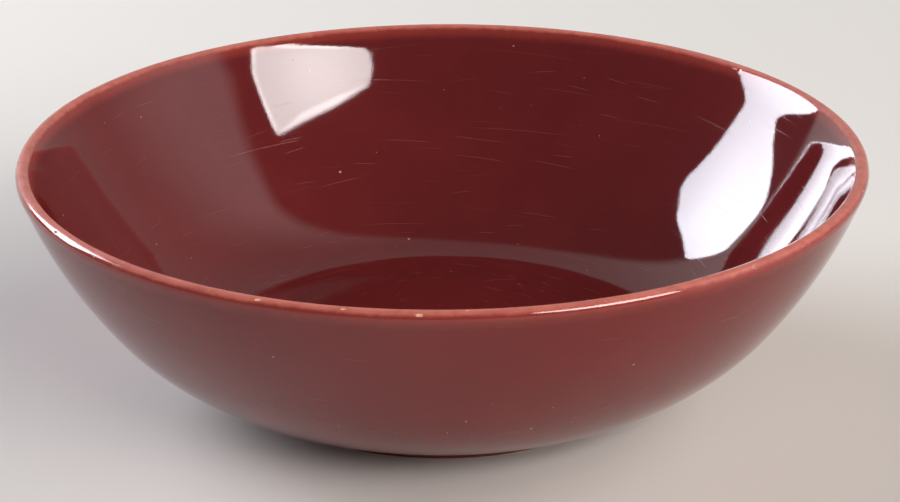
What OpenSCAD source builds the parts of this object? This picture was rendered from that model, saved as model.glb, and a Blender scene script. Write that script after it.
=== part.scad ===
// Glazed ceramic vegetable bowl on a low foot ring.
// The bowl stands on z = 0 with its axis along +Z. Lengths are in millimetres, angles in degrees.

/* [Overall] */
// Outer diameter of the rim
rim_d = 230; // [180:1:300]
// Height from the table to the top of the rim
bowl_h = 67.4; // [52:0.2:90]

/* [Rim] */
// Thickness of the rounded lip, glaze included
rim_t = 4; // [3:0.1:6]
// How far the lip's coat runs down each side of the wall, past the rounding
lip_coat = 1.2; // [0.4:0.1:6]

/* [Outside] */
// Lean of the outside wall from upright, just under the lip
outside_lean = 20.7; // [12:0.1:30]
// Slope of the belly where it meets the foot ring
belly_slope = 13; // [5:0.5:22]
// Length of the upper outside curve's tangent over the lower one's
outside_balance = 0.763; // [0.4:0.001:1.5]

/* [Inside] */
// How far the flat floor's edge lies inside the foot ring's outer side
floor_inset = 4.2; // [0:0.2:20]
// Thickness of the floor over the foot well, glaze included
floor_t = 7.8; // [5:0.1:11]
// Lean of the inside wall from upright, at its top under the flare
inside_lean = 25.7; // [14:0.1:32]
// Length of the upper inside curve's tangent over the lower one's
inside_balance = 0.94; // [0.4:0.01:1.2]
// Radius of the soft flare between the inside wall and the lip
flare_r = 60; // [10:1:120]
// Lean of the flare from upright, where it runs into the lip
flare_lean = 33.5; // [33:0.5:60]

/* [Foot] */
// Outer diameter of the foot ring, glaze included
foot_d = 108.2; // [80:0.2:140]
// Height of the foot ring's outer side
foot_h = 3.2; // [2:0.1:8]
// Width of the foot ring, glaze included
foot_w = 6; // [3:0.1:12]
// Radius of the glaze that fills the corner between the well's roof and the foot ring
cove_r = 1.2; // [0.4:0.1:1.6]
// Height of the bare clay edge that stands on the table
dry_h = 0.3; // [0.2:0.05:1]

/* [Glaze] */
// Thickness of the glaze
glaze_t = 0.4; // [0.2:0.05:0.8]

/* [Hidden] */
// Chords in each curve of the section
curve_steps = 16;
// Facets around the axis
around_steps = 180;

rim_r = rim_d / 2;
lip_r = rim_t / 2;
foot_r = foot_d / 2;
floor_r = foot_r - floor_inset;
well_r = foot_r - foot_w;
// Slopes of the two walls at their tops, and of the flare at the lip
outside_top_slope = 90 - outside_lean;
inside_top_slope = 90 - inside_lean;
flare_top_slope = 90 - flare_lean;
// Plane where the clay body sits on the foot ring
joint_z = foot_h + glaze_t * cos(belly_slope);
// Underside of the glazed roof over the foot well, and top of the glazed floor
roof_z = joint_z - glaze_t;
floor_z = roof_z + floor_t;
// Centres of the lip's rounding and of the well's corner
lip_centre = [rim_r - lip_r, bowl_h - lip_r];
cove_centre = [well_r - cove_r, roof_z - cove_r];
// Inner side of the clay in the foot ring
ring_r = well_r + glaze_t;

// Direction along a curve of this slope, going outwards and up
function along(slope) = [cos(slope), sin(slope)];

// Direction square to that slope, towards the curve's centre
function inward(slope) = [-sin(slope), cos(slope)];

// An arc is its centre, radius, first slope and last slope. The radius of one that bends outwards,
// away from the bowl's axis, is below zero.
// Two arcs that join smoothly, and leave the start and meet the end at the given slopes.
function two_arcs(start, start_slope, end, end_slope, balance) =
    let (
        first = along(start_slope),
        last = along(end_slope),
        span = end - start,
        a = 2 * balance * (1 - first * last),
        b = 2 * span * (first + balance * last),
        first_len = (sqrt(b * b + 4 * a * (span * span)) - b) / (2 * a),
        last_len = balance * first_len,
        join_line = (end - last_len * last) - (start + first_len * first),
        join_slope = atan2(join_line.y, join_line.x),
        first_r = first_len / tan((join_slope - start_slope) / 2),
        last_r = last_len / tan((end_slope - join_slope) / 2)
    )
    [
        [start + first_r * inward(start_slope), first_r, start_slope, join_slope],
        [end + last_r * inward(end_slope), last_r, join_slope, end_slope]
    ];

// Points on a circle from one angle to another, counted from the x axis
function round_points(centre, radius, from, to) = [
    for (i = [0:curve_steps])
        let (angle = from + (to - from) * i / curve_steps)
        centre + radius * [cos(angle), sin(angle)]
];

// Points on an arc, moved away from its centre by grow
function arc_points(arc, grow) = round_points(arc[0], arc[1] + grow, arc[2] - 90, arc[3] - 90);

// The part of an arc below a slope, and the part above it
function below(arc, slope) = [arc[0], arc[1], arc[2], slope];
function above(arc, slope) = [arc[0], arc[1], slope, arc[3]];

function reversed(list) = [for (i = [len(list) - 1:-1:0]) list[i]];

// The list without its first point, for a line that goes on from the last point of another
function onward(list) = [for (i = [1:len(list) - 1]) list[i]];

// Slope at which the lip's coat ends on a wall's upper arc
function coat_end(arc) = arc[3] - lip_coat / arc[1] * 180 / PI;

// The finished outside, from the foot ring's top edge to the lip
outside = two_arcs(
    [foot_r, foot_h], belly_slope,
    lip_centre + lip_r * along(-outside_lean), outside_top_slope,
    outside_balance
);
// The flare, which bends outwards from the top of the inside wall and runs smoothly into the lip
flare_centre = lip_centre + (flare_r - lip_r) * along(-flare_lean);
flare = [flare_centre, -flare_r, inside_top_slope, flare_top_slope];
// The finished inside, from the edge of the flat floor to the flare
inside = two_arcs(
    [floor_r, floor_z], 0,
    flare_centre - flare_r * along(-inside_lean), inside_top_slope,
    inside_balance
);
outside_cut = coat_end(outside[1]);
flare_cut = coat_end(flare);

// Lines of the section at a depth under the finished surface
function belly_line(depth) = arc_points(outside[0], -depth);
function outside_wall_line(depth) = arc_points(below(outside[1], outside_cut), -depth);
function outside_lip_line(depth) = arc_points(above(outside[1], outside_cut), -depth);
function lip_line(depth) = round_points(lip_centre, lip_r - depth, -outside_lean, 180 - flare_lean);
function flare_lip_line(depth) = reversed(arc_points(above(flare, flare_cut), depth));
function flare_line(depth) = reversed(arc_points(below(flare, flare_cut), depth));
function inside_wall_line(depth) = reversed(arc_points(inside[1], depth));
function basin_line(depth) = reversed(arc_points(inside[0], depth));

// A line of the outside up to the lip's coat, one over the lip, and one down the inside to the axis
function outside_line(depth) = concat(belly_line(depth), onward(outside_wall_line(depth)));
function rim_line(depth) = concat(
    outside_lip_line(depth), onward(lip_line(depth)), onward(flare_lip_line(depth))
);
function inside_line(depth) = concat(
    flare_line(depth), onward(inside_wall_line(depth)), onward(basin_line(depth)),
    [[0, floor_z - depth]]
);

// The edge of the clay at the foot ring's top, which both coats there run up to
foot_corner = [foot_r - glaze_t, joint_z];

module turned(points) {
    rotate_extrude($fn = around_steps) polygon(points);
}

// A coat between the finished line and the clay under it
module coat(finished, clay) {
    turned(concat(finished, reversed(clay)));
}

// Wall and floor of fired clay, under the glaze
module clay_body() {
    color("#c79a78")
    turned(concat(
        [[0, joint_z], foot_corner],
        outside_line(glaze_t), onward(rim_line(glaze_t)), onward(inside_line(glaze_t))
    ));
}

// Ring of clay that the bowl stands on, bare underneath
module foot_ring() {
    color("#c79a78")
    turned([
        [ring_r, joint_z],
        [ring_r, dry_h],
        [ring_r + dry_h, 0],
        [foot_corner.x - dry_h, 0],
        [foot_corner.x, dry_h],
        foot_corner
    ]);
}

// Coat on the floor and the inside of the wall
module inside_glaze() {
    color("#5a1a1c")
    coat(inside_line(0), inside_line(glaze_t));
}

// Coat over the lip, where it runs thin
module rim_glaze() {
    color("#b4594d")
    coat(rim_line(0), rim_line(glaze_t));
}

// Coat on the outside of the wall and belly
module outside_glaze() {
    color("#70302d")
    coat(outside_line(0), concat([foot_corner], outside_line(glaze_t)));
}

// Coat on the outer side of the foot ring
module foot_glaze() {
    color("#4b1e20")
    coat([[foot_r, dry_h], [foot_r, foot_h]], [[foot_corner.x, dry_h], foot_corner]);
}

// Coat on the roof of the foot well and down the foot ring's inner side
module underside_glaze() {
    color("#632527")
    coat(
        concat([[0, roof_z]], round_points(cove_centre, cove_r, 90, 0), [[well_r, dry_h]]),
        [[0, joint_z], [ring_r, joint_z], [ring_r, dry_h]]
    );
}

clay_body();
foot_ring();
inside_glaze();
rim_glaze();
outside_glaze();
foot_glaze();
underside_glaze();
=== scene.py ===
# Looks of a glazed vegetable bowl, built around its packed CAD model.
import math
from collections import namedtuple
from functools import partialmethod

import bpy
from bpy.props import FloatProperty, FloatVectorProperty, IntProperty, PointerProperty
from bpy.types import Operator, Panel, PropertyGroup
from mathutils import Matrix, Vector, noise


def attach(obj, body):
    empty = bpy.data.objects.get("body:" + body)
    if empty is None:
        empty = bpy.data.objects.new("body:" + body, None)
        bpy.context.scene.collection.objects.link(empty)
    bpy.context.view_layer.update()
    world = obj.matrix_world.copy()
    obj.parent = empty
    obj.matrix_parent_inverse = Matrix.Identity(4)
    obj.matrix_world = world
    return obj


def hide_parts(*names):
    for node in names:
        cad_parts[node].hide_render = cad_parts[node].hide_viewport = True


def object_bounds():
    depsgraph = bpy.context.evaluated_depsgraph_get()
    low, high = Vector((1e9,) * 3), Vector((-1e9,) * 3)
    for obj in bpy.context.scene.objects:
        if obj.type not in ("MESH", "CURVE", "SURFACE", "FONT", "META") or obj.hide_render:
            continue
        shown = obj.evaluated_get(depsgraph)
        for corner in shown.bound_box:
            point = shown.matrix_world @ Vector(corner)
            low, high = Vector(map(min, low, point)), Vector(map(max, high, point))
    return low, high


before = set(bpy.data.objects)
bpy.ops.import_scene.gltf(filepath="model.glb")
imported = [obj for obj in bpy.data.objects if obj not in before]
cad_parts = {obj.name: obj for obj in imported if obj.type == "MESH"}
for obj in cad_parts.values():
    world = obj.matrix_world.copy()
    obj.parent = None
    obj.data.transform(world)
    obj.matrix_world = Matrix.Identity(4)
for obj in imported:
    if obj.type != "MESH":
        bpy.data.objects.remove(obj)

bl_info = {
    "name": "Glazed vegetable bowl",
    "version": (1, 0, 0),
    "blender": (4, 5, 0),
    "location": "3D View > Sidebar > Bowl",
    "description": "Makes the glaze, clay and stage of a round vegetable bowl",
    "category": "Add Mesh",
}

CAD_LOW, CAD_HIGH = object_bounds()
MM = 0.001


# Settings

def length(name, description, millimetres):
    """A size in metres, given here in millimetres."""
    return FloatProperty(
        name=name,
        description=description,
        default=millimetres * MM,
        min=0.0,
        unit="LENGTH",
        precision=5,
    )


def angle(name, description, degrees):
    """An angle in radians, given here in degrees."""
    return FloatProperty(
        name=name, description=description, default=math.radians(degrees), subtype="ANGLE"
    )


def number(name, description, default):
    """A plain number."""
    return FloatProperty(name=name, description=description, default=default, min=0.0)


def colour(name, description, default):
    """A linear colour."""
    return FloatVectorProperty(
        name=name,
        description=description,
        default=default,
        size=3,
        min=0.0,
        max=1.0,
        subtype="COLOR",
    )


class BowlSizes(PropertyGroup):
    """The bowl's section, with the same sizes as the CAD model."""

    rim_radius: length("Rim radius", "Outer radius of the rim", CAD_HIGH.x / MM)
    height: length("Height", "Height from the table to the top of the rim", CAD_HIGH.z / MM)
    lip_radius: length("Lip radius", "Radius of the rounded lip, glaze included", 2.0)
    lip_coat: length("Lip coat", "How far the lip's coat runs down each side", 1.2)
    outside_lean: angle("Outside lean", "Lean of the outside wall under the lip", 20.7)
    belly_slope: angle("Belly slope", "Slope of the belly at the foot ring", 13.0)
    outside_balance: number("Outside balance", "Upper outside tangent over the lower one", 0.763)
    floor_inset: length("Floor inset", "From the foot's outer side in to the floor's edge", 4.2)
    floor_thickness: length("Floor thickness", "Floor over the foot well, glaze included", 7.8)
    inside_lean: angle("Inside lean", "Lean of the inside wall under the flare", 25.7)
    inside_balance: number("Inside balance", "Upper inside tangent over the lower one", 0.94)
    flare_radius: length("Flare radius", "Radius of the flare between inside wall and lip", 60.0)
    flare_lean: angle("Flare lean", "Lean of the flare where it runs into the lip", 33.5)
    foot_radius: length("Foot radius", "Outer radius of the foot ring, glaze included", 54.1)
    foot_height: length("Foot height", "Height of the foot ring's outer side", 3.2)
    foot_width: length("Foot width", "Width of the foot ring, glaze included", 6.0)
    cove_radius: length("Cove radius", "Radius of the glaze in the well's corner", 1.2)
    bare_edge: length("Bare edge", "Height of the bare clay edge on the table", 0.3)
    glaze_thickness: length("Glaze thickness", "Thickness of the glaze", 0.4)


class GlazeShape(PropertyGroup):
    """How the fired coats differ from a perfect turning."""

    unevenness: length("Unevenness", "Height of the slow waves in the glaze", 0.03)
    wave_size: length("Wave size", "Width of the slow waves in the glaze", 28.0)
    nick_depth: length("Nick depth", "Depth of the nicks in the lip", 0.34)
    crown_turn: angle("Crown turn", "Place of the thinnest glaze, up over the lip", 88.0)
    steps_around: IntProperty(
        name="Steps around", description="Faces around the wide coats", default=540, min=24
    )
    lip_steps_around: IntProperty(
        name="Lip steps around", description="Faces around the lip", default=1800, min=24
    )


class GlazeColours(PropertyGroup):
    """Colours and finish of the glaze and the clay."""

    inner: colour("Inner glaze", "Glaze inside the bowl", (0.113, 0.0120, 0.0132))
    outer: colour("Outer glaze", "Glaze outside the bowl", (0.148, 0.0130, 0.0130))
    thin: colour("Thin glaze", "Glaze just under the lip", (0.24, 0.034, 0.028))
    broken: colour("Broken glaze", "Glaze worn thin over the lip", (0.53, 0.148, 0.116))
    clay: colour("Fired clay", "Bare clay in the nicks and under the foot", (0.70, 0.42, 0.28))
    scratch: colour("Scratch", "Fine scratches and specks in the glaze", (0.42, 0.28, 0.26))
    clouds: number("Clouds", "Brightness of the glaze's paler clouds, against the rest", 1.13)
    roughness: number("Roughness", "Roughness of the sound glaze", 0.03)
    peel_height: length("Peel height", "Height of the fine ripple in the glaze", 0.012)


class StageSettings(PropertyGroup):
    """Floor and lights of the studio."""

    floor: colour("Floor", "Colour of the floor", (0.70, 0.685, 0.67))
    backdrop: colour("Backdrop", "Colour behind the floor, also in gloss", (0.60, 0.585, 0.58))
    soft_light: number("Soft light", "Even light from all round the studio", 0.03)
    dark_side: number("Dark side", "Brightness of the studio's dark side in the gloss", 0.09)
    left_gloss: number("Left gloss", "Brightness of the left softbox in the gloss", 19.0)
    right_gloss: number("Right gloss", "Brightness of the right softbox in the gloss", 18.5)
    edge_gloss: number("Edge gloss", "Brightness of the right softbox's edges in the gloss", 26.0)
    second_gloss: number("Second gloss", "Gain of a light in the gloss that gloss shows", 2.2)
    left_lamp: number("Left lamp", "Brightness of the lamp on the left", 8.9)
    front_lamp: number("Front lamp", "Brightness of the lamp at the front right", 10.6)
    right_lamp: number("Right lamp", "Brightness of the lamp on the right", 3.0)


# Section of the bowl, as pairs of radius and height

# An arc runs from its first slope to its last; the radius of one that bends outwards is below zero
Arc = namedtuple("Arc", "centre radius first last")
# A point of the section's line, and the direction that the surface faces there
Spot = namedtuple("Spot", "place facing")
# Longest steps along the section: on a wall and on its hidden side, on the lip and on its hidden
# side, on the foot ring's side, and on the coat's rounded lower edges
WALL_STEP = 1.2 * MM
HIDDEN_STEP = 5.0 * MM
LIP_STEP = 0.25 * MM
HIDDEN_LIP_STEP = 1.0 * MM
FOOT_STEP = 0.3 * MM
EDGE_STEP = 0.05 * MM
# Points of two lines that are nearer than this are the same point
SAME_POINT = 1e-9


def along(slope):
    """Direction along a curve of this slope, going outwards and up."""
    return Vector((math.cos(slope), math.sin(slope)))


def inward(slope):
    """Direction square to that slope, towards the curve's centre."""
    return Vector((-math.sin(slope), math.cos(slope)))


def two_arcs(start, start_slope, end, end_slope, balance):
    """Two arcs that join smoothly, leave the start and meet the end at the given slopes."""
    first = along(start_slope)
    last = along(end_slope)
    span = end - start
    a = 2 * balance * (1 - first.dot(last))
    b = 2 * span.dot(first + balance * last)
    first_len = (math.sqrt(b * b + 4 * a * span.length_squared) - b) / (2 * a)
    last_len = balance * first_len
    join_line = (end - last_len * last) - (start + first_len * first)
    join_slope = math.atan2(join_line.y, join_line.x)
    first_r = first_len / math.tan((join_slope - start_slope) / 2)
    last_r = last_len / math.tan((end_slope - join_slope) / 2)
    return (
        Arc(start + first_r * inward(start_slope), first_r, start_slope, join_slope),
        Arc(end + last_r * inward(end_slope), last_r, join_slope, end_slope),
    )


def steps(first, last, count):
    """Evenly spaced numbers from first to last, both included."""
    return [first + (last - first) * i / count for i in range(count + 1)]


def wall_line(arc, depth, step, side):
    """A wall's arc at a depth under the glaze; side is 1 outside the bowl and -1 inside."""
    radius = arc.radius - side * depth
    count = max(2, math.ceil(radius * (arc.last - arc.first) / step))
    return [
        Spot(arc.centre - radius * inward(slope), -side * inward(slope))
        for slope in steps(arc.first, arc.last, count)
    ]


def round_line(centre, radius, first, last, step, side):
    """An arc about a point; side is 1 where the surface faces away from it, else -1."""
    count = max(4, math.ceil(radius * abs(last - first) / step))
    return [
        Spot(centre + radius * along(turn), side * along(turn))
        for turn in steps(first, last, count)
    ]


def straight_line(start, end, facing, step):
    """A straight piece of the section."""
    count = max(1, math.ceil((end - start).length / step))
    return [Spot(start.lerp(end, i / count), facing) for i in range(count + 1)]


def joined(*lines):
    """Lines one after another, without the points that they share."""
    whole = list(lines[0])
    for line in lines[1:]:
        shared = (line[0].place - whole[-1].place).length < SAME_POINT
        whole.extend(line[1:] if shared else line)
    return whole


class Section:
    """Places and curves that the coats share."""

    def __init__(self, sizes, crown_turn):
        self.sizes = sizes
        glaze = sizes.glaze_thickness
        self.joint_z = sizes.foot_height + glaze * math.cos(sizes.belly_slope)
        self.roof_z = self.joint_z - glaze
        self.floor_z = self.roof_z + sizes.floor_thickness
        self.floor_r = sizes.foot_radius - sizes.floor_inset
        self.well_r = sizes.foot_radius - sizes.foot_width
        self.foot_corner = Vector((sizes.foot_radius - glaze, self.joint_z))
        lip_r = sizes.lip_radius
        self.lip_centre = Vector((sizes.rim_radius - lip_r, sizes.height - lip_r))
        self.crown = self.lip_centre + lip_r * along(crown_turn)
        self.outside = two_arcs(
            Vector((sizes.foot_radius, sizes.foot_height)),
            sizes.belly_slope,
            self.lip_centre + lip_r * along(-sizes.outside_lean),
            math.pi / 2 - sizes.outside_lean,
            sizes.outside_balance,
        )
        flare_r = sizes.flare_radius
        inside_slope = math.pi / 2 - sizes.inside_lean
        flare_centre = self.lip_centre + (flare_r - lip_r) * along(-sizes.flare_lean)
        self.flare = Arc(flare_centre, -flare_r, inside_slope, math.pi / 2 - sizes.flare_lean)
        self.inside = two_arcs(
            Vector((self.floor_r, self.floor_z)),
            0.0,
            flare_centre - flare_r * along(-sizes.inside_lean),
            inside_slope,
            sizes.inside_balance,
        )
        self.outside_cut = self.outside[1].last - sizes.lip_coat / self.outside[1].radius
        self.flare_cut = self.flare.last - sizes.lip_coat / self.flare.radius

    def outside_line(self, depth, step):
        """From the foot ring's top edge up to the lip's coat."""
        belly, wall = self.outside
        return joined(
            wall_line(belly, depth, step, 1),
            wall_line(wall._replace(last=self.outside_cut), depth, step, 1),
        )

    def rim_line(self, depth, step):
        """Up the outside, over the lip and down the inside."""
        sizes = self.sizes
        outside = wall_line(self.outside[1]._replace(first=self.outside_cut), depth, step, 1)
        inside = wall_line(self.flare._replace(first=self.flare_cut), depth, step, -1)
        crown = round_line(
            self.lip_centre,
            sizes.lip_radius - depth,
            -sizes.outside_lean,
            math.pi - sizes.flare_lean,
            step,
            1,
        )
        return joined(outside, crown, inside[::-1])

    def inside_line(self, depth, step):
        """From the lip's coat down the inside wall and across the floor to the axis."""
        basin, wall = self.inside
        level = self.floor_z - depth
        floor = straight_line(
            Vector((self.floor_r, level)), Vector((0.0, level)), Vector((0.0, 1.0)), step
        )
        return joined(
            wall_line(self.flare._replace(last=self.flare_cut), depth, step, -1)[::-1],
            wall_line(wall, depth, step, -1)[::-1],
            wall_line(basin, depth, step, -1)[::-1],
            floor,
        )

    def foot_line(self):
        """Outline of the coat on the foot ring's outer side, thinning out at its lower edge."""
        sizes = self.sizes
        glaze = sizes.glaze_thickness
        outwards = Vector((1.0, 0.0))
        lower = Vector((self.foot_corner.x, sizes.bare_edge))
        upper = Vector((sizes.foot_radius, sizes.foot_height))
        edge_centre = lower + Vector((0.0, glaze))
        edge = round_line(edge_centre, glaze, -math.pi / 2, 0.0, EDGE_STEP, 1)
        side = straight_line(edge[-1].place, upper, outwards, FOOT_STEP)
        hidden = [Spot(self.foot_corner, outwards), Spot(lower, outwards)]
        return joined(edge, side, hidden)

    def underside_line(self):
        """Outline of the coat on the roof of the well and the foot ring's inner side."""
        sizes = self.sizes
        glaze = sizes.glaze_thickness
        down = Vector((0.0, -1.0))
        inwards = Vector((-1.0, 0.0))
        cove_r = sizes.cove_radius
        cove_centre = Vector((self.well_r - cove_r, self.roof_z - cove_r))
        ring_r = self.well_r + glaze
        roof = straight_line(
            Vector((0.0, self.roof_z)), Vector((cove_centre.x, self.roof_z)), down, WALL_STEP
        )
        cove = round_line(cove_centre, cove_r, math.pi / 2, 0.0, LIP_STEP, -1)
        lower = Vector((ring_r, sizes.bare_edge))
        edge_centre = lower + Vector((0.0, glaze))
        edge = round_line(edge_centre, glaze, -math.pi, -math.pi / 2, EDGE_STEP, 1)
        hidden = [
            Spot(Vector((ring_r, self.joint_z)), inwards),
            Spot(Vector((0.0, self.joint_z)), down),
        ]
        return joined(roof, cove, edge, hidden)


def closed(line):
    """The line, brought back to its first point."""
    return line + line[:1]


# Building node trees

class NodeBuilder:
    """Adds nodes to one tree, laid out in rows, and joins their sockets."""

    COLUMNS = 8
    COLUMN_WIDTH = 240
    ROW_HEIGHT = 320

    def __init__(self, tree):
        self.tree = tree

    def put(self, socket, value):
        """Links a socket to another, or sets its value."""
        if isinstance(value, bpy.types.NodeSocket):
            self.tree.links.new(value, socket)
        else:
            socket.default_value = value

    def node(self, kind, inputs=None, **settings):
        """A new node with its settings and inputs."""
        row, column = divmod(len(self.tree.nodes), self.COLUMNS)
        made = self.tree.nodes.new(kind)
        made.location = (self.COLUMN_WIDTH * column, -self.ROW_HEIGHT * row)
        for name, value in settings.items():
            setattr(made, name, value)
        for key, value in (inputs or {}).items():
            self.put(made.inputs[key], value)
        return made

    def fill(self, made, *values):
        """A node with its inputs filled in their order."""
        for socket, value in zip(made.inputs, values):
            self.put(socket, value)
        return made

    def math(self, operation, *values):
        """Result of a Math node."""
        return self.fill(self.node("ShaderNodeMath", operation=operation), *values).outputs[0]

    plus = partialmethod(math, "ADD")
    minus = partialmethod(math, "SUBTRACT")
    times = partialmethod(math, "MULTIPLY")
    over = partialmethod(math, "DIVIDE")
    most = partialmethod(math, "MAXIMUM")

    def vector(self, operation, *values):
        """A Vector Math node."""
        return self.fill(self.node("ShaderNodeVectorMath", operation=operation), *values)

    def scaled(self, vector, factor):
        """A vector times a number."""
        made = self.node("ShaderNodeVectorMath", operation="SCALE")
        self.put(made.inputs["Vector"], vector)
        self.put(made.inputs["Scale"], factor)
        return made.outputs["Vector"]

    def ramp(self, value, low, high, low_result=0.0, high_result=1.0):
        """A smooth step of a value from low to high."""
        made = self.node("ShaderNodeMapRange", interpolation_type="SMOOTHSTEP")
        return self.fill(made, value, low, high, low_result, high_result).outputs["Result"]

    def mix(self, factor, first, second):
        """A mix of two colours."""
        made = self.node("ShaderNodeMix", data_type="RGBA")
        self.put(made.inputs["Factor"], factor)
        colour_sockets = [s for s in made.inputs if s.type == "RGBA"]
        self.put(colour_sockets[0], first)
        self.put(colour_sockets[1], second)
        return next(s for s in made.outputs if s.type == "RGBA")

    def noise(self, vector, scale, detail=2.0, roughness=0.5):
        """A noise value around a half."""
        made = self.node(
            "ShaderNodeTexNoise",
            {"Vector": vector, "Scale": scale, "Detail": detail, "Roughness": roughness},
        )
        return next(s for s in made.outputs if s.type == "VALUE")

    def mix_shaders(self, factor, first, second):
        """A mix of two shaders."""
        return self.fill(self.node("ShaderNodeMixShader"), factor, first, second).outputs["Shader"]

    def ray_kinds(self):
        """1 for a ray from the camera, else 0, and 1 for a ray from gloss or glass, else 0."""
        ray = self.node("ShaderNodeLightPath").outputs
        shiny = self.most(ray["Is Glossy Ray"], ray["Is Transmission Ray"])
        return ray["Is Camera Ray"], shiny


def rgba(value):
    """A colour with full alpha."""
    return (*value, 1.0)


def add_socket(tree, name, way, kind, default=None):
    """A named input or output of a node group."""
    socket = tree.interface.new_socket(name, in_out=way, socket_type="NodeSocket" + kind)
    if default is not None:
        socket.default_value = default


def built_once(name):
    """Lets a function make the node group of this name only when it isn't there yet."""

    def once(make):
        def group():
            made = bpy.data.node_groups.get(name)
            return make(name) if made is None else made

        return group

    return once


# Turning a section into a coat

# Gain that brings the noise in the slow waves to their full height
WAVE_GAIN = 4.0
# Points of a coat nearer than this are merged, which closes its seam and its poles
MERGE_DISTANCE = 2e-6
# Edges that turn by more than this stay sharp
SHARP_ANGLE = math.radians(40)


@built_once("Turned coat")
def turned_coat_tree(name):
    """Geometry nodes that turn a section's points about the axis into a closed coat."""
    tree = bpy.data.node_groups.new(name, "GeometryNodeTree")
    for label, kind, default in (
        ("Section", "Geometry", None),
        ("Section Points", "Int", 2),
        ("Steps Around", "Int", 360),
        ("Unevenness", "Float", 0.0),
        ("Wave Size", "Float", 0.03),
        ("Sharp Angle", "Float", SHARP_ANGLE),
        ("Material", "Material", None),
    ):
        add_socket(tree, label, "INPUT", kind, default)
    add_socket(tree, "Coat", "OUTPUT", "Geometry")
    build = NodeBuilder(tree)
    given = build.node("NodeGroupInput").outputs

    columns = build.plus(given["Steps Around"], 1)
    grid = build.node("GeometryNodeMeshGrid")
    build.fill(grid, 1.0, 1.0, given["Section Points"], columns)
    place = build.node("GeometryNodeInputPosition").outputs["Position"]
    across = build.node("ShaderNodeSeparateXYZ", {"Vector": place}).outputs
    last_point = build.minus(given["Section Points"], 1)
    point = build.times(build.plus(across["X"], 0.5), last_point)
    point = build.math("ROUND", point)
    turn = build.times(build.plus(across["Y"], 0.5), 2 * math.pi)

    facing = build.node(
        "GeometryNodeInputNamedAttribute", {"Name": "facing"}, data_type="FLOAT_VECTOR"
    )
    turned = []
    for value in (place, facing.outputs["Attribute"]):
        sample = build.node(
            "GeometryNodeSampleIndex",
            {"Geometry": given["Section"], "Value": value, "Index": point},
            data_type="FLOAT_VECTOR",
        ).outputs["Value"]
        spun = build.node(
            "ShaderNodeVectorRotate", {"Vector": sample, "Angle": turn}, rotation_type="Z_AXIS"
        )
        turned.append(spun.outputs["Vector"])
    on_section, outwards = turned

    scale = build.over(1.0, given["Wave Size"])
    wave = build.minus(build.noise(on_section, scale, detail=1.0), 0.5)
    wave = build.times(wave, build.times(given["Unevenness"], WAVE_GAIN))
    waved = build.vector("ADD", on_section, build.scaled(outwards, wave)).outputs["Vector"]

    placed = build.node(
        "GeometryNodeSetPosition", {"Geometry": grid.outputs["Mesh"], "Position": waved}
    )
    merged = build.node(
        "GeometryNodeMergeByDistance",
        {"Geometry": placed.outputs["Geometry"], "Distance": MERGE_DISTANCE},
    )
    outside_out = build.node("GeometryNodeFlipFaces", {"Mesh": merged.outputs["Geometry"]})
    smooth = build.node(
        "GeometryNodeSetShadeSmooth",
        {"Geometry": outside_out.outputs["Mesh"], "Shade Smooth": True},
    )
    edge_angle = build.node("GeometryNodeInputMeshEdgeAngle").outputs["Unsigned Angle"]
    sharp = build.node("FunctionNodeCompare", data_type="FLOAT", operation="GREATER_THAN")
    build.fill(sharp, edge_angle, given["Sharp Angle"])
    creased = build.node(
        "GeometryNodeSetShadeSmooth",
        {
            "Geometry": smooth.outputs["Geometry"],
            "Selection": sharp.outputs["Result"],
            "Shade Smooth": False,
        },
        domain="EDGE",
    )
    real = build.node("GeometryNodeRealizeInstances", {"Geometry": creased.outputs["Geometry"]})
    finished = build.node(
        "GeometryNodeSetMaterial",
        {"Geometry": real.outputs["Geometry"], "Material": given["Material"]},
    )
    build.node("NodeGroupOutput", {"Coat": finished.outputs["Geometry"]})
    return tree


def section_object(name, line):
    """An object that holds a section's points in the XZ plane, with their facings."""
    mesh = bpy.data.meshes.new(name)
    mesh.from_pydata([(s.place.x, 0.0, s.place.y) for s in line], [], [])
    facing = mesh.attributes.new("facing", "FLOAT_VECTOR", "POINT")
    for entry, spot in zip(facing.data, line):
        entry.vector = (spot.facing.x, 0.0, spot.facing.y)
    made = bpy.data.objects.new(name, mesh)
    bpy.context.scene.collection.objects.link(made)
    return made


def turned_coat(name, line, material, shape, steps_around):
    """A coat turned from a section's line, as a plain mesh object."""
    made = section_object(name, line)
    tree = turned_coat_tree()
    values = {
        "Section Points": len(line),
        "Steps Around": steps_around,
        "Unevenness": shape.unevenness,
        "Wave Size": shape.wave_size,
        "Material": material,
    }
    modifier = made.modifiers.new("Turned coat", "NODES")
    modifier.node_group = tree
    for item in tree.interface.items_tree:
        if item.name in values:
            modifier[item.identifier] = values[item.name]
    made.update_tag()
    depsgraph = bpy.context.evaluated_depsgraph_get()
    mesh = bpy.data.meshes.new_from_object(made.evaluated_get(depsgraph))
    points = made.data
    made.modifiers.clear()
    made.data = mesh
    mesh.name = name
    bpy.data.meshes.remove(points)
    if mesh_volume(mesh) <= 0:
        raise RuntimeError(f"{name} is inside out")
    return made


def mesh_volume(mesh):
    """Volume inside a closed mesh, negative if its faces point inwards."""
    mesh.calc_loop_triangles()
    total = 0.0
    for triangle in mesh.loop_triangles:
        a, b, c = (mesh.vertices[i].co for i in triangle.vertices)
        total += a.dot(b.cross(c))
    return total / 6


def take_place(piece, node):
    """Shows a piece in place of its CAD node."""
    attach(piece, "root")
    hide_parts(node)


# Node groups that the materials share

# Radius at which a scratch has the length that its layer names
SCRATCH_RADIUS = 0.08
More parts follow.
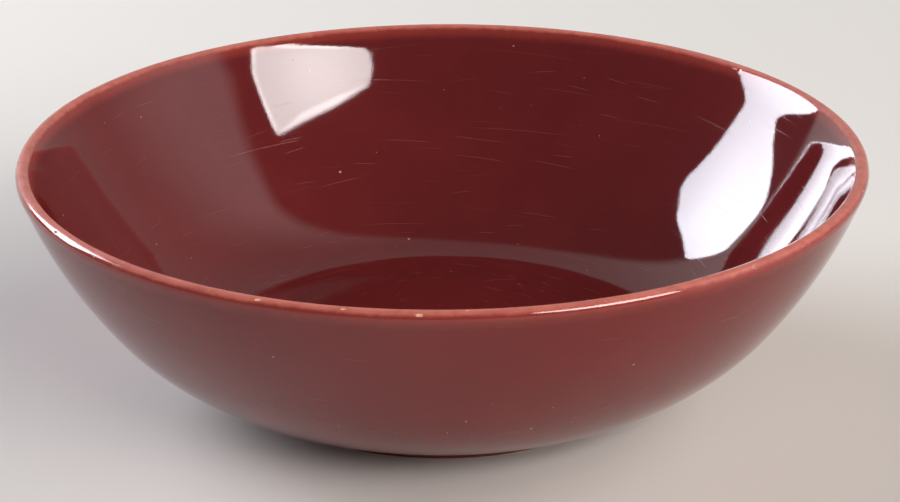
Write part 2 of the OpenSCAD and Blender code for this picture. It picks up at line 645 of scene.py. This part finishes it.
# Scales of the noises in the glaze: the broken edge's fine and slow raggedness, its mottle, the
# clouds of colour, the patches with more scratches, and the smears in the gloss
RAGGED_NOISE = 420.0
SLOW_NOISE = 45.0
MOTTLE_NOISE = 260.0
CLOUD_NOISE = 38.0
WORN_NOISE = 16.0
SMEAR_NOISE = 25.0
# Shares of their reach within which the glaze is fully thin and fully broken
THIN_FULL = 0.4
BROKEN_FULL = 0.5


def new_group(name, inputs, outputs):
    """An empty shader group with named sockets, and its builder and inputs."""
    tree = bpy.data.node_groups.new(name, "ShaderNodeTree")
    kinds = {float: "Float", tuple: "Color"}
    for label, default in inputs.items():
        add_socket(tree, label, "INPUT", kinds[type(default)], default)
    for label, kind in outputs.items():
        add_socket(tree, label, "OUTPUT", kinds[kind])
    build = NodeBuilder(tree)
    return tree, build, build.node("NodeGroupInput").outputs


def place_on_bowl(build):
    """The place on the bowl, in metres."""
    return build.node("ShaderNodeTexCoord").outputs["Object"]


def out_from_axis(build, place):
    """Distance of a place, given as its X, Y and Z, from the bowl's axis."""
    level = build.node("ShaderNodeCombineXYZ", {"X": place["X"], "Y": place["Y"]})
    return build.vector("LENGTH", level.outputs["Vector"]).outputs["Value"]


@built_once("Crown distance")
def crown_distance_group(name):
    """How far a place lies from the line on the lip where the glaze is thinnest."""
    inputs = {"Crown Radius": 0.113, "Crown Height": 0.067}
    tree, build, given = new_group(name, inputs, {"Distance": float})
    place = build.node("ShaderNodeSeparateXYZ", {"Vector": place_on_bowl(build)}).outputs
    beside = build.minus(out_from_axis(build, place), given["Crown Radius"])
    above = build.minus(place["Z"], given["Crown Height"])
    offset = build.node("ShaderNodeCombineXYZ", {"X": beside, "Y": above}).outputs["Vector"]
    build.node("NodeGroupOutput", {"Distance": build.vector("LENGTH", offset).outputs["Value"]})
    return tree


@built_once("Glaze break")
def glaze_break_group(name):
    """Glaze that runs thin towards the lip and breaks to a paler colour on it."""
    inputs = {
        "Body": (0.1, 0.01, 0.01, 1.0),
        "Cloud": (0.15, 0.014, 0.012, 1.0),
        "Thin": (0.2, 0.03, 0.02, 1.0),
        "Broken": (0.46, 0.1, 0.07, 1.0),
        "Distance": 0.0,
        "Thin Reach": 0.0054,
        "Broken Reach": 0.0023,
        "Raggedness": 0.0010,
    }
    tree, build, given = new_group(name, inputs, {"Color": tuple, "Broken Share": float})
    place = place_on_bowl(build)
    fine = build.noise(place, RAGGED_NOISE, detail=4.0, roughness=0.6)
    slow = build.noise(place, SLOW_NOISE, detail=2.0)
    ragged = build.minus(build.plus(fine, slow), 1.0)
    ragged = build.times(ragged, given["Raggedness"])
    distance = build.plus(given["Distance"], ragged)
    cloud = build.noise(place, CLOUD_NOISE, detail=5.0, roughness=0.62)
    body = build.mix(build.ramp(cloud, 0.35, 0.75), given["Body"], given["Cloud"])
    thin_full = build.times(given["Thin Reach"], THIN_FULL)
    broken_full = build.times(given["Broken Reach"], BROKEN_FULL)
    thin = build.ramp(distance, given["Thin Reach"], thin_full)
    broken = build.ramp(distance, given["Broken Reach"], broken_full)
    mottle = build.ramp(build.noise(place, MOTTLE_NOISE, detail=3.0), 0.3, 0.65, 0.7, 1.0)
    broken = build.times(broken, mottle)
    colour_now = build.mix(thin, body, given["Thin"])
    colour_now = build.mix(broken, colour_now, given["Broken"])
    build.node("NodeGroupOutput", {"Color": colour_now, "Broken Share": broken})
    return tree


@built_once("Specks")
def specks_group(name):
    """Small round specks, each in its own cell, most of them faint and some cells empty."""
    inputs = {"Spacing": 0.006, "Size": 0.0003, "Share": 0.4}
    tree, build, given = new_group(name, inputs, {"Mask": float})
    scale = build.over(1.0, given["Spacing"])
    cells = build.node("ShaderNodeTexVoronoi", {"Vector": place_on_bowl(build), "Scale": scale})
    near = build.times(cells.outputs["Distance"], given["Spacing"])
    chance = build.node("ShaderNodeSeparateColor", {"Color": cells.outputs["Color"]}).outputs
    size = build.times(given["Size"], build.plus(chance["Green"], 0.4))
    spot = build.ramp(near, build.times(size, 0.5), size, 1.0, 0.0)
    kept = build.math("LESS_THAN", chance["Red"], given["Share"])
    strength = build.ramp(chance["Blue"], 0.0, 1.0, 0.25, 1.0)
    mask = build.times(build.times(spot, kept), strength)
    build.node("NodeGroupOutput", {"Mask": mask})
    return tree


@built_once("Hairline scratches")
def scratches_group(name):
    """Hairline scratches round the bowl, each in a cell of its own, most of them faint."""
    inputs = {"Length": 0.03, "Gap": 0.009, "Width": 0.00012, "Share": 0.1, "Seed": 0.0}
    tree, build, given = new_group(name, inputs, {"Mask": float})
    place = build.node("ShaderNodeSeparateXYZ", {"Vector": place_on_bowl(build)}).outputs
    turn = build.math("ARCTAN2", place["Y"], place["X"])
    round_way = build.over(build.times(turn, SCRATCH_RADIUS), given["Length"])
    round_way = build.plus(round_way, given["Seed"])
    wall_way = build.plus(out_from_axis(build, place), place["Z"])
    wall_way = build.over(wall_way, given["Gap"])
    cell = build.node(
        "ShaderNodeCombineXYZ",
        {
            "X": build.math("FLOOR", round_way),
            "Y": build.math("FLOOR", wall_way),
            "Z": given["Seed"],
        },
    ).outputs["Vector"]
    luck = build.node("ShaderNodeTexWhiteNoise", {"Vector": cell})
    chance = build.node("ShaderNodeSeparateColor", {"Color": luck.outputs["Color"]}).outputs
    run = build.math("FRACT", round_way)
    tilt = build.ramp(chance["Green"], 0.0, 1.0, -0.4, 0.4)
    middle = build.ramp(chance["Red"], 0.0, 1.0, 0.3, 0.7)
    line = build.plus(middle, build.times(tilt, build.minus(run, 0.5)))
    off = build.math("ABSOLUTE", build.minus(build.math("FRACT", wall_way), line))
    hair = build.ramp(build.times(off, given["Gap"]), 0.0, given["Width"], 1.0, 0.0)
    ends = build.times(build.ramp(run, 0.05, 0.3), build.ramp(run, 0.95, 0.6))
    kept = build.math("LESS_THAN", luck.outputs["Value"], given["Share"])
    strength = build.times(kept, build.ramp(chance["Blue"], 0.0, 1.0, 0.2, 1.0))
    mask = build.times(build.times(hair, ends), strength)
    build.node("NodeGroupOutput", {"Mask": mask})
    return tree


@built_once("Glaze skin")
def glaze_skin_group(name):
    """Height of the fine ripple, the grain and the pits in a gloss glaze."""
    inputs = {
        "Ripple Size": 0.0016, "Ripple": 0.25, "Grain Size": 0.0004, "Grain": 0.22, "Pits": 0.0
    }
    tree, build, given = new_group(name, inputs, {"Height": float})
    place = place_on_bowl(build)
    ripple = build.noise(place, build.over(1.0, given["Ripple Size"]), detail=1.0)
    grain = build.noise(place, build.over(1.0, given["Grain Size"]), detail=0.0)
    ripple = build.times(ripple, given["Ripple"])
    height = build.plus(ripple, build.times(grain, given["Grain"]))
    height = build.minus(height, given["Pits"])
    build.node("NodeGroupOutput", {"Height": height})
    return tree


def use_group(build, tree, **values):
    """Places a group in a material; spaces in its input names are underscores here."""
    made = build.node("ShaderNodeGroup", node_tree=tree)
    for name, value in values.items():
        build.put(made.inputs[name.replace("_", " ")], value)
    return made.outputs


# Materials

def empty_material(name):
    """A material without nodes, and its builder."""
    material = bpy.data.materials.new(name)
    material.use_nodes = True
    material.node_tree.nodes.clear()
    return material, NodeBuilder(material.node_tree)


def new_material(name):
    """A material of one shader, with its builder and the shader."""
    material, build = empty_material(name)
    shader = build.node("ShaderNodeBsdfPrincipled")
    build.node("ShaderNodeOutputMaterial", {"Surface": shader.outputs["BSDF"]})
    return material, build, shader


# How strongly specks and scratches show in the glaze's colour
SPECK_SHOW = 0.8
SCRATCH_SHOW = 0.21
# Roughness that specks, scratches, broken glaze and nicks add to the gloss
SPECK_DULL = 0.4
SCRATCH_DULL = 0.35
BROKEN_DULL = 0.14
NICK_DULL = 0.6
GLAZE_IOR = 1.5
# Roughness of smeared glaze against that of sound glaze
SMEAR_GAIN = 1.8
# Depth of the pits against the ripple's height
PIT_DEPTH = 2.0
# Share of the places for a scratch that have one, inside the bowl and elsewhere
INSIDE_SCRATCHES = 0.24
OTHER_SCRATCHES = 0.05
# Layers of scratches: length and gap between rows in metres, and a seed
ScratchLayer = namedtuple("ScratchLayer", "length gap seed")
SCRATCH_LAYERS = (
    ScratchLayer(0.034, 0.011, 3.37),
    ScratchLayer(0.020, 0.008, 8.71),
    ScratchLayer(0.009, 0.005, 5.13),
)


def glaze_material(name, colours, section, body, scratch_share, nicked=False):
    """Gloss glaze with clouds of colour, a pale lip, specks, pits, scratches and ripple."""
    material, build, shader = new_material(name)
    distance = use_group(
        build, crown_distance_group(), Crown_Radius=section.crown.x, Crown_Height=section.crown.y
    )["Distance"]
    glaze = use_group(
        build,
        glaze_break_group(),
        Body=rgba(body),
        Cloud=rgba(colours.clouds * c for c in body),
        Thin=rgba(colours.thin),
        Broken=rgba(colours.broken),
        Distance=distance,
    )
    specks = use_group(build, specks_group(), Spacing=0.0052, Size=0.00036, Share=0.5)["Mask"]
    pits = use_group(build, specks_group(), Spacing=0.0027, Size=0.00016, Share=0.4)["Mask"]
    marks = build.times(specks, SPECK_SHOW)
    dull = build.times(specks, SPECK_DULL)
    place = place_on_bowl(build)
    worn = build.ramp(build.noise(place, WORN_NOISE, detail=1.0), 0.48, 0.6, 0.15, 1.0)
    for layer in SCRATCH_LAYERS:
        scratches = use_group(
            build,
            scratches_group(),
            Length=layer.length,
            Gap=layer.gap,
            Share=scratch_share,
            Seed=layer.seed,
        )["Mask"]
        faint = build.times(build.times(scratches, worn), SCRATCH_SHOW)
        marks = build.most(marks, faint)
        dull = build.most(dull, build.times(scratches, SCRATCH_DULL))
    colour_now = build.mix(marks, glaze["Color"], rgba(colours.scratch))
    smear = build.noise(place, SMEAR_NOISE, detail=6.0, roughness=0.65)
    rough = build.ramp(smear, 0.3, 0.8, colours.roughness, colours.roughness * SMEAR_GAIN)
    rough = build.plus(rough, dull)
    rough = build.plus(rough, build.times(glaze["Broken Share"], BROKEN_DULL))
    skin = use_group(build, glaze_skin_group(), Pits=build.times(pits, PIT_DEPTH))
    if nicked:
        nick = build.node("ShaderNodeAttribute", attribute_name="nick").outputs["Fac"]
        bare = build.ramp(nick, 0.25, 0.6)
        colour_now = build.mix(bare, colour_now, rgba(colours.clay))
        rough = build.plus(rough, build.times(bare, NICK_DULL))
    bump = build.node(
        "ShaderNodeBump",
        {"Height": skin["Height"], "Distance": colours.peel_height, "Strength": 1.0},
    )
    build.put(shader.inputs["Base Color"], colour_now)
    build.put(shader.inputs["Roughness"], rough)
    build.put(shader.inputs["Normal"], bump.outputs["Normal"])
    shader.inputs["IOR"].default_value = GLAZE_IOR
    return material


# Scales of the clay's clouds and grain, the grain's height, its grit and how dark its clouds are
CLAY_CLOUDS = 60.0
CLAY_GRAIN = 2500.0
GRAIN_HEIGHT = 0.06 * MM
GRIT = (0.16, 0.09, 0.06)
DARK_CLAY = 0.7


def clay_material(colours):
    """Matt fired clay with a fine grain and dark grit."""
    material, build, shader = new_material("fired_clay")
    place = place_on_bowl(build)
    cloud = build.noise(place, CLAY_CLOUDS, detail=6.0, roughness=0.6)
    darker = tuple(DARK_CLAY * c for c in colours.clay)
    body = build.mix(build.ramp(cloud, 0.3, 0.7), rgba(darker), rgba(colours.clay))
    grit = use_group(build, specks_group(), Spacing=0.0018, Size=0.0003, Share=0.3)["Mask"]
    grain = build.noise(place, CLAY_GRAIN, detail=3.0)
    bump = build.node(
        "ShaderNodeBump", {"Height": grain, "Distance": GRAIN_HEIGHT, "Strength": 1.0}
    )
    build.put(shader.inputs["Base Color"], build.mix(grit, body, rgba(GRIT)))
    build.put(shader.inputs["Roughness"], build.ramp(grain, 0.2, 0.8, 0.75, 0.95))
    build.put(shader.inputs["Normal"], bump.outputs["Normal"])
    return material


# Nicks in the lip: degrees round the bowl from +X, degrees up the lip from its outer side,
# and half the length along the lip and across it in millimetres
Nick = namedtuple("Nick", "around up half_length half_width")
NICKS = (
    Nick(247.3, 65.0, 0.9, 0.5),
    Nick(258.1, 69.0, 0.7, 0.4),
    Nick(267.3, 44.0, 1.1, 0.5),
    Nick(273.1, 88.0, 0.4, 0.3),
    Nick(211.3, 47.0, 0.5, 0.4),
    Nick(38.6, 142.0, 0.4, 0.3),
)
# How ragged a nick's outline is, the scale of that, and how steeply a nick falls to its full depth
NICK_RAGGED = 0.45
NICK_NOISE = 2200
NICK_STEEP = 2.5
# Points this far under the lip's surface are on the hidden side of its coat
UNDER_LIP = 0.1 * MM


def nick_lip(piece, section, depth):
    """Breaks small nicks out of the lip, and marks them for the material."""
    mesh = piece.data
    lip_r = section.sizes.lip_radius
    ring_r, ring_z = section.lip_centre
    marks = [0.0] * len(mesh.vertices)
    for vertex in mesh.vertices:
        place = vertex.co
        out = math.hypot(place.x, place.y)
        arm = Vector((out - ring_r, place.z - ring_z))
        if arm.length < lip_r - UNDER_LIP:
            continue
        around = math.degrees(math.atan2(place.y, place.x)) % 360
        up = math.degrees(math.atan2(arm.y, arm.x))
        for nick in NICKS:
            beside = (around - nick.around + 180) % 360 - 180
            length_off = math.radians(beside) * out / (nick.half_length * MM)
            width_off = math.radians(up - nick.up) * lip_r / (nick.half_width * MM)
            ragged = NICK_RAGGED * noise.noise(place * NICK_NOISE)
            cut = 1 - math.hypot(length_off, width_off) + ragged
            if abs(length_off) < 2 and cut > 0:
                marks[vertex.index] = max(marks[vertex.index], min(1.0, NICK_STEEP * cut))
        if marks[vertex.index] > 0:
            sunk = arm.normalized() * (depth * marks[vertex.index])
            vertex.co = (
                place.x * (1 - sunk.x / out),
                place.y * (1 - sunk.x / out),
                place.z - sunk.y,
            )
    attribute = mesh.attributes.new("nick", "FLOAT", "POINT")
    attribute.data.foreach_set("value", marks)
    mesh.update()


# Operators

class BowlOperator(Operator):
    """Shared parts of the bowl's operators."""

    bl_options = {"REGISTER", "UNDO"}

    @staticmethod
    def parts(context):
        """The bowl's section, its glaze's shape and its colours."""
        scene = context.scene
        section = Section(scene.bowl_sizes, scene.bowl_shape.crown_turn)
        return section, scene.bowl_shape, scene.bowl_colours


class BOWL_OT_clay(BowlOperator):
    """Give the clay body and the foot ring their clay"""

    bl_idname = "bowl.clay"
    bl_label = "Clay body and foot ring"

    def execute(self, context):
        clay = clay_material(context.scene.bowl_colours)
        for node in ("clay_body", "foot_ring"):
            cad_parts[node].data.materials.clear()
            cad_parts[node].data.materials.append(clay)
        return {"FINISHED"}


class BOWL_OT_inside_glaze(BowlOperator):
    """Make the coat on the floor and the inside of the wall"""

    bl_idname = "bowl.inside_glaze"
    bl_label = "Inside glaze"

    def execute(self, context):
        section, shape, colours = self.parts(context)
        depth = section.sizes.glaze_thickness
        line = joined(
            section.inside_line(0.0, WALL_STEP), section.inside_line(depth, HIDDEN_STEP)[::-1]
        )
        material = glaze_material(
            "inside_glaze", colours, section, colours.inner, INSIDE_SCRATCHES
        )
        coat = turned_coat("inside_coat", closed(line), material, shape, shape.steps_around)
        take_place(coat, "inside_glaze")
        return {"FINISHED"}


class BOWL_OT_rim_glaze(BowlOperator):
    """Make the coat over the lip, with its nicks"""

    bl_idname = "bowl.rim_glaze"
    bl_label = "Rim glaze"

    def execute(self, context):
        section, shape, colours = self.parts(context)
        depth = section.sizes.glaze_thickness
        line = joined(
            section.rim_line(0.0, LIP_STEP), section.rim_line(depth, HIDDEN_LIP_STEP)[::-1]
        )
        material = glaze_material(
            "rim_glaze", colours, section, colours.inner, OTHER_SCRATCHES, nicked=True
        )
        coat = turned_coat("rim_coat", closed(line), material, shape, shape.lip_steps_around)
        nick_lip(coat, section, shape.nick_depth)
        take_place(coat, "rim_glaze")
        return {"FINISHED"}


class BOWL_OT_outside_glaze(BowlOperator):
    """Make the coat on the outside of the wall and belly"""

    bl_idname = "bowl.outside_glaze"
    bl_label = "Outside glaze"

    def execute(self, context):
        section, shape, colours = self.parts(context)
        depth = section.sizes.glaze_thickness
        corner = Spot(section.foot_corner, -inward(section.sizes.belly_slope))
        line = joined(
            section.outside_line(0.0, WALL_STEP),
            section.outside_line(depth, HIDDEN_STEP)[::-1],
            [corner],
        )
        material = glaze_material(
            "outside_glaze", colours, section, colours.outer, OTHER_SCRATCHES
        )
        coat = turned_coat("outside_coat", closed(line), material, shape, shape.steps_around)
        take_place(coat, "outside_glaze")
        return {"FINISHED"}


class BOWL_OT_foot_glaze(BowlOperator):
    """Make the coats on the foot ring and under the floor"""

    bl_idname = "bowl.foot_glaze"
    bl_label = "Foot and underside glaze"

    def execute(self, context):
        section, shape, _ = self.parts(context)
        material = bpy.data.materials["outside_glaze"]
        foot = turned_coat(
            "foot_coat", closed(section.foot_line()), material, shape, shape.steps_around
        )
        take_place(foot, "foot_glaze")
        under = turned_coat(
            "underside_coat", closed(section.underside_line()), material, shape, shape.steps_around
        )
        take_place(under, "underside_glaze")
        return {"FINISHED"}


# Stage

# Directions in the studio are an azimuth, counted from +Y towards +X, and an elevation, in degrees.
# A card is a light that only the gloss shows. Its outline is in metres, across and up, as seen
# from the bowl.
Card = namedtuple("Card", "azimuth elevation distance tint outline")
LEFT_TINT = (0.88, 0.90, 1.0)
RIGHT_TINT = (1.0, 0.96, 0.955)
LEFT_CARD = Card(-60, 25, 2.0, LEFT_TINT, (
    (-0.46, 0.33), (-0.41, 0.38), (0.56, 0.42), (0.60, 0.37), (0.60, -0.33), (0.55, -0.37),
    (0.14, -0.39), (-0.41, -0.58), (-0.46, -0.55),
))
RIGHT_CARD = Card(138, 31, 2.0, RIGHT_TINT, (
    (-0.71, -0.30), (0.24, -0.30), (0.53, -0.11), (0.53, 0.10), (0.49, 0.26), (0.40, 0.385),
    (-0.68, 0.51), (-0.71, 0.48),
))
UPPER_EDGE_CARD = Card(138, 31, 1.99, RIGHT_TINT, (
    (-0.69, 0.50), (0.40, 0.375), (0.10, 0.36), (-0.30, 0.39),
))
SIDE_EDGE_CARD = Card(138, 31, 1.99, RIGHT_TINT, (
    (-0.70, -0.29), (-0.68, -0.29), (-0.66, 0.44), (-0.70, 0.49),
))
# A card is brightest a little above its middle. From there it fades over a distance to a share of that.
CARD_PEAK = 0.12
CARD_FADE = 0.65
CARD_EDGE = 0.8
# A lamp lights the colours and isn't seen in the gloss; its width and height are in metres
Lamp = namedtuple("Lamp", "azimuth elevation distance tint width height")
LEFT_LAMP = Lamp(-60, 25, 1.4, (0.94, 0.95, 1.0), 1.1, 0.83)
FRONT_LAMP = Lamp(143, 28, 2.0, (1.0, 0.94, 0.89), 1.4, 0.7)
RIGHT_LAMP = Lamp(90, 32, 2.0, (1.0, 0.95, 0.85), 2.0, 1.4)
# The point that the lights aim at
AIM = Vector((0.0, 0.0, 0.04))
# In gloss, the studio is pale where a direction's part along this one is above zero. The edge is soft.
PALE_SIDE = (0.476, 0.793, -0.379)
PALE_EDGE = 0.05
# Ramps over a direction's X or Y: where one starts and ends, and its results there. The first draws
# the pale side's edge back at the far left; the others brighten it in front and on the left.
DARK_CORNER = (-0.60, -0.74, 0.0, 0.18)
FRONT_MORE = (-0.06, 0.55, 1.1, -0.35)
LEFT_MORE = (0.0, -0.6, 0.0, 1.0)
SOFT_TINT = (1.0, 0.98, 0.97)
# Half the floor's width, and how far from the bowl it starts and ends running out into the backdrop
FLOOR_HALF = 8.0
FADE_START = 0.45
FADE_END = 1.0
# Scale of the floor's clouds, and how dark they are
FLOOR_CLOUDS = 6.0
DARK_FLOOR = 0.97
# The camera's lens and film width in millimetres, its place in metres, and its tilt up from looking
# straight down and its roll in degrees
LENS = 120.0
FILM_WIDTH = 36.0
CAMERA_PLACE = (0.0020, -0.7669, 0.3423)
CAMERA_TILT = 68.33
CAMERA_ROLL = -0.27


def towards(azimuth, elevation):
    """Unit vector from the bowl in a direction of the studio."""
    turn = math.radians(azimuth)
    rise = math.radians(elevation)
    level = math.cos(rise)
    return Vector((level * math.sin(turn), level * math.cos(turn), math.sin(rise)))


def light_card(name, card, brightness, second):
    """A flat light that faces the bowl and only shows in gloss."""
    axis = towards(card.azimuth, card.elevation)
    across = towards(card.azimuth + 90, 0)
    up = across.cross(axis)
    centre = AIM + card.distance * axis
    corners = [centre + x * across + y * up for x, y in card.outline]
    mesh = bpy.data.meshes.new(name)
    mesh.from_pydata(corners, [], [range(len(corners))])
    if mesh.polygons[0].normal.dot(axis) > 0:
        mesh.flip_normals()
    made = bpy.data.objects.new(name, mesh)
    bpy.context.scene.collection.objects.link(made)

    material, build = empty_material(name)
    place = build.node("ShaderNodeTexCoord").outputs["Object"]
    off_peak = build.vector("DISTANCE", place, centre + CARD_PEAK * up).outputs["Value"]
    front = build.minus(1.0, build.node("ShaderNodeNewGeometry").outputs["Backfacing"])
    level = build.ramp(off_peak, 0.0, CARD_FADE, brightness, CARD_EDGE * brightness)
    level = build.times(front, level)
    # The depth is 1 in gloss, and 2 or more in gloss that gloss shows
    depth = build.node("ShaderNodeLightPath").outputs["Ray Depth"]
    again = build.ramp(depth, 1.4, 1.6, 1.0, second)
    glow = build.node("ShaderNodeEmission", {"Strength": build.times(level, again)})
    glow.inputs["Color"].default_value = rgba(card.tint)
    build.node("ShaderNodeOutputMaterial", {"Surface": glow.outputs["Emission"]})
    mesh.materials.append(material)
    made.visible_camera = False
    made.visible_diffuse = False
    made.visible_shadow = False


def soft_lamp(name, lamp, brightness):
    """An area lamp that faces the bowl and isn't seen in its gloss."""
    axis = towards(lamp.azimuth, lamp.elevation)
    light = bpy.data.lights.new(name, "AREA")
    light.shape = "RECTANGLE"
    light.size = lamp.width
    light.size_y = lamp.height
    light.energy = brightness * math.pi * lamp.width * lamp.height
    light.color = lamp.tint
    made = bpy.data.objects.new(name, light)
    made.location = AIM + lamp.distance * axis
    made.rotation_euler = axis.to_track_quat("Z", "Y").to_euler()
    made.visible_camera = False
    made.visible_glossy = False
    bpy.context.scene.collection.objects.link(made)


class BOWL_OT_stage(BowlOperator):
    """Make the floor, the studio, its lights and the camera"""

    bl_idname = "bowl.stage"
    bl_label = "Stage"

    def execute(self, context):
        settings = context.scene.bowl_stage
        self.make_floor(settings)
        second = settings.second_gloss
        light_card("left_card", LEFT_CARD, settings.left_gloss, second)
        light_card("right_card", RIGHT_CARD, settings.right_gloss, second)
        light_card("upper_edge_card", UPPER_EDGE_CARD, settings.edge_gloss, second)
        light_card("side_edge_card", SIDE_EDGE_CARD, settings.edge_gloss, second)
        soft_lamp("left_lamp", LEFT_LAMP, settings.left_lamp)
        soft_lamp("front_lamp", FRONT_LAMP, settings.front_lamp)
        soft_lamp("right_lamp", RIGHT_LAMP, settings.right_lamp)
        self.make_world(context, settings)
        self.make_camera(context)
        context.scene.view_settings.view_transform = "Standard"
        return {"FINISHED"}

    def make_floor(self, settings):
        """A pale level floor that runs out into the backdrop."""
        corners = [(-1, -1), (1, -1), (1, 1), (-1, 1)]
        mesh = bpy.data.meshes.new("floor")
        mesh.from_pydata([(x * FLOOR_HALF, y * FLOOR_HALF, 0) for x, y in corners], [], [range(4)])
        floor = bpy.data.objects.new("floor", mesh)
        bpy.context.scene.collection.objects.link(floor)

        material, build = empty_material("floor")
        place = build.node("ShaderNodeTexCoord").outputs["Object"]
        darker = tuple(DARK_FLOOR * c for c in settings.floor)
        cloud = build.noise(place, FLOOR_CLOUDS, detail=3.0)
        tone = build.mix(cloud, rgba(darker), rgba(settings.floor))
        lit = build.node("ShaderNodeBsdfPrincipled", {"Base Color": tone})
        lit.inputs["Roughness"].default_value = 0.9
        lit.inputs["Specular IOR Level"].default_value = 0.0
        plain = build.node("ShaderNodeEmission", {"Color": rgba(settings.backdrop)})
        away = build.vector("LENGTH", place).outputs["Value"]
        camera, shiny = build.ray_kinds()
        faded = build.times(build.most(camera, shiny), build.ramp(away, FADE_START, FADE_END))
        surface = build.mix_shaders(faded, lit.outputs["BSDF"], plain.outputs["Emission"])
        build.node("ShaderNodeOutputMaterial", {"Surface": surface})
        mesh.materials.append(material)

    def make_world(self, context, settings):
        """A studio with a pale side and a dark side; the camera sees its backdrop all round."""
        world = bpy.data.worlds.new("studio")
        context.scene.world = world
        world.use_nodes = True
        world.node_tree.nodes.clear()
        build = NodeBuilder(world.node_tree)
        way = build.node("ShaderNodeTexCoord").outputs["Generated"]
        way_parts = build.node("ShaderNodeSeparateXYZ", {"Vector": way}).outputs
        side = build.vector("DOT_PRODUCT", way, PALE_SIDE).outputs["Value"]
        side = build.minus(side, build.ramp(way_parts["X"], *DARK_CORNER))
        pale = build.ramp(side, -PALE_EDGE, PALE_EDGE)
        camera, shiny = build.ray_kinds()
        level = build.ramp(shiny, 0.0, 1.0, settings.soft_light, settings.dark_side)
        soft = build.node("ShaderNodeBackground", {"Color": rgba(SOFT_TINT), "Strength": level})
        front_more = build.ramp(way_parts["Y"], *FRONT_MORE)
        left_more = build.ramp(way_parts["X"], *LEFT_MORE)
        more = build.times(shiny, build.plus(front_more, left_more))
        backdrop = build.node(
            "ShaderNodeBackground",
            {"Color": rgba(settings.backdrop), "Strength": build.plus(1.0, more)},
        )
        seen = build.most(camera, build.times(shiny, pale))
        surface = build.mix_shaders(
            seen, soft.outputs["Background"], backdrop.outputs["Background"]
        )
        build.node("ShaderNodeOutputWorld", {"Surface": surface})

    def make_camera(self, context):
        """The camera at the photograph's place, turned a little about its line of sight."""
        lens = bpy.data.cameras.new("camera")
        lens.lens = LENS
        lens.sensor_width = FILM_WIDTH
        lens.clip_start = 0.01
        camera = bpy.data.objects.new("camera", lens)
        context.scene.collection.objects.link(camera)
        tilt = Matrix.Rotation(math.radians(CAMERA_TILT), 4, "X")
        roll = Matrix.Rotation(math.radians(CAMERA_ROLL), 4, "Z")
        camera.matrix_world = Matrix.Translation(CAMERA_PLACE) @ tilt @ roll
        context.scene.camera = camera


# Panel and registration

GROUPS = {
    "bowl_sizes": BowlSizes,
    "bowl_shape": GlazeShape,
    "bowl_colours": GlazeColours,
    "bowl_stage": StageSettings,
}
OPERATORS = (
    BOWL_OT_clay,
    BOWL_OT_inside_glaze,
    BOWL_OT_rim_glaze,
    BOWL_OT_outside_glaze,
    BOWL_OT_foot_glaze,
    BOWL_OT_stage,
)


class VIEW3D_PT_vegetable_bowl(Panel):
    """Lists the bowl's operators and settings"""

    bl_idname = "VIEW3D_PT_vegetable_bowl"
    bl_label = "Vegetable bowl"
    bl_space_type = "VIEW_3D"
    bl_region_type = "UI"
    bl_category = "Bowl"

    def draw(self, context):
        for operator in OPERATORS:
            self.layout.operator(operator.bl_idname)
        for group, kind in GROUPS.items():
            box = self.layout.box()
            box.label(text=kind.__doc__)
            for setting in kind.__annotations__:
                box.prop(getattr(context.scene, group), setting)


CLASSES = (*GROUPS.values(), *OPERATORS, VIEW3D_PT_vegetable_bowl)


def register():
    """Adds the classes and the scene's settings."""
    for kind in CLASSES:
        bpy.utils.register_class(kind)
    for group, kind in GROUPS.items():
        setattr(bpy.types.Scene, group, PointerProperty(type=kind))


def unregister():
    """Removes the settings and the classes."""
    for group in GROUPS:
        delattr(bpy.types.Scene, group)
    for kind in reversed(CLASSES):
        bpy.utils.unregister_class(kind)


def main():
    """Makes the bowl and its stage."""
    register()
    for operator in OPERATORS:
        group, name = operator.bl_idname.split(".")
        getattr(getattr(bpy.ops, group), name)()


if __name__ == "__main__":
    main()
